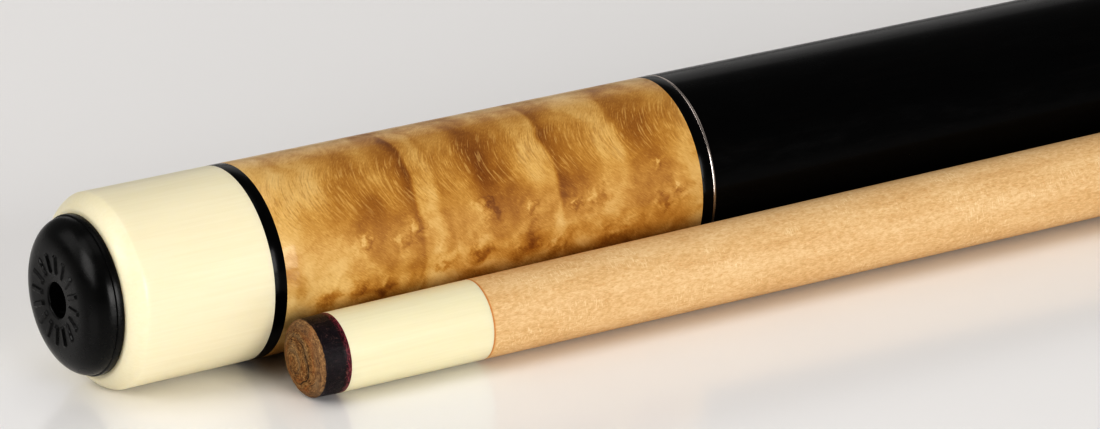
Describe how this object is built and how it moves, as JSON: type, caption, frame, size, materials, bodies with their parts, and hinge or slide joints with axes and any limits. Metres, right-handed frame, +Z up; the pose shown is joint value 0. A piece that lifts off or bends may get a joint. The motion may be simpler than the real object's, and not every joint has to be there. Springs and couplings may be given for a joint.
{
  "type": "pool cue",
  "caption": "Two-piece tapered pool cue taken apart, with a screw-in steel joint, figured wood butt sleeve, rubber bumper and domed leather tip.",
  "frame": {"origin": "on the table, at the centre of the footprint of the two halves", "axes": "+X runs along the butt half from the bumper to the joint, +Y points from the shaft half to the butt half, +Z is up"},
  "size_m": [0.7717, 0.0575, 0.0321],
  "materials": {
    "black_rubber": "moulded, satin",
    "screw_steel": "turned",
    "weight_steel": "black oxide",
    "ivory_plastic": "polished, clear coated",
    "black_plastic": "polished, clear coated",
    "figured_maple": "amber stain under gloss clear coat",
    "trim_metal": "polished",
    "black_lacquer": "black gloss lacquer",
    "joint_steel": "turned and polished",
    "brass_insert": "turned",
    "tip_leather": "layered, scuffed dome, burnished dark side",
    "red_fibre": "burnished fibre",
    "ferrule_ivory": "satin polished",
    "shaft_maple": "bare hard maple, burnished and sealed"
  },
  "bodies": {
    "butt_half": {"weight_bolt": "weight_steel", "butt_cap": "ivory_plastic", "cap_ring": "black_plastic", "butt_sleeve": "figured_maple", "sleeve_ring": "black_plastic", "sleeve_trim_ring": "trim_metal", "handle": "black_lacquer", "handle_trim_ring": "trim_metal", "handle_ring": "black_plastic", "forearm_stud": "screw_steel", "forearm": "figured_maple", "joint_trim_ring": "trim_metal", "joint_ring": "black_plastic", "joint_collar": "joint_steel", "joint_pin": "joint_steel"},
    "bumper_body": {"bumper": "black_rubber", "bumper_washer": "screw_steel"},
    "bumper_screw_body": {"bumper_screw": "screw_steel"},
    "shaft_half": {"tip": "tip_leather", "tip_pad": "red_fibre", "ferrule": "ferrule_ivory", "shaft_wood": "shaft_maple", "shaft_trim_ring": "trim_metal", "shaft_collar": "black_plastic", "shaft_insert": "brass_insert"}
  },
  "joints": [
    {"name": "shaft_swing", "type": "hinge", "parent": "butt_half", "child": "shaft_half", "pos_m": [0.38155, -0.0027, 0.01065], "axis": [0, 0, 1], "range_deg": [0, 179.34]},
    {"name": "bumper_slide", "type": "slide", "parent": "butt_half", "child": "bumper_body", "axis": [-1, 0, 0.0074], "range_m": [0, 0.014]},
    {"name": "bumper_screw_turn", "type": "hinge", "parent": "bumper_body", "child": "bumper_screw_body", "pos_m": [-0.38048, 0.01271, 0.01605], "axis": [-1, 0, 0.0074], "range_deg": [0, 6300.5]}
  ],
  "couplings": [
    {"joint": "bumper_screw_turn", "follows": "bumper_slide", "rad_per_m": 7854}
  ]
}
